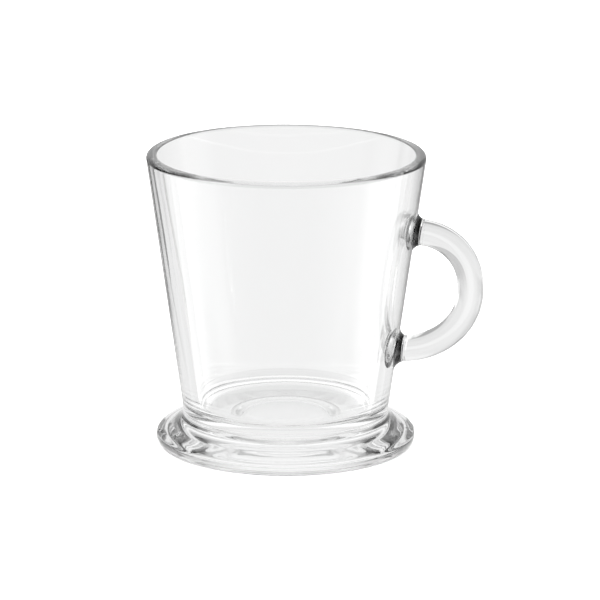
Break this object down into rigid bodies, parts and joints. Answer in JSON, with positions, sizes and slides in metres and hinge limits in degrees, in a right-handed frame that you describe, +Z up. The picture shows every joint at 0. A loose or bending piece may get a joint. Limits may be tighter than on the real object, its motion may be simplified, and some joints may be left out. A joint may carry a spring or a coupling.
{
  "type": "cappuccino cup",
  "caption": "Clear pressed-glass cappuccino cup: tapered thick-walled bowl on a domed disc foot, with a round rod handle fused to its side at two flared welds.",
  "frame": {"origin": "middle of the cup's footprint box, handle included, on the plane of the table; the bowl's axis stands 8.45 mm towards -X from it", "axes": "+X from the bowl towards the handle, +Z up out of the mouth, -Y towards the viewer with the handle on the right"},
  "size_m": [0.097, 0.08, 0.085],
  "materials": {
    "bowl_glass": "clear fire-polished soda-lime glass",
    "foot_glass": "clear pressed soda-lime glass",
    "handle_glass": "clear drawn glass rod",
    "weld_glass": "clear fused glass weld"
  },
  "bodies": {
    "root": {"bowl": "bowl_glass", "foot": "foot_glass", "handle": "handle_glass", "upper_handle_boss": "weld_glass", "lower_handle_boss": "weld_glass"}
  },
  "joints": []
}
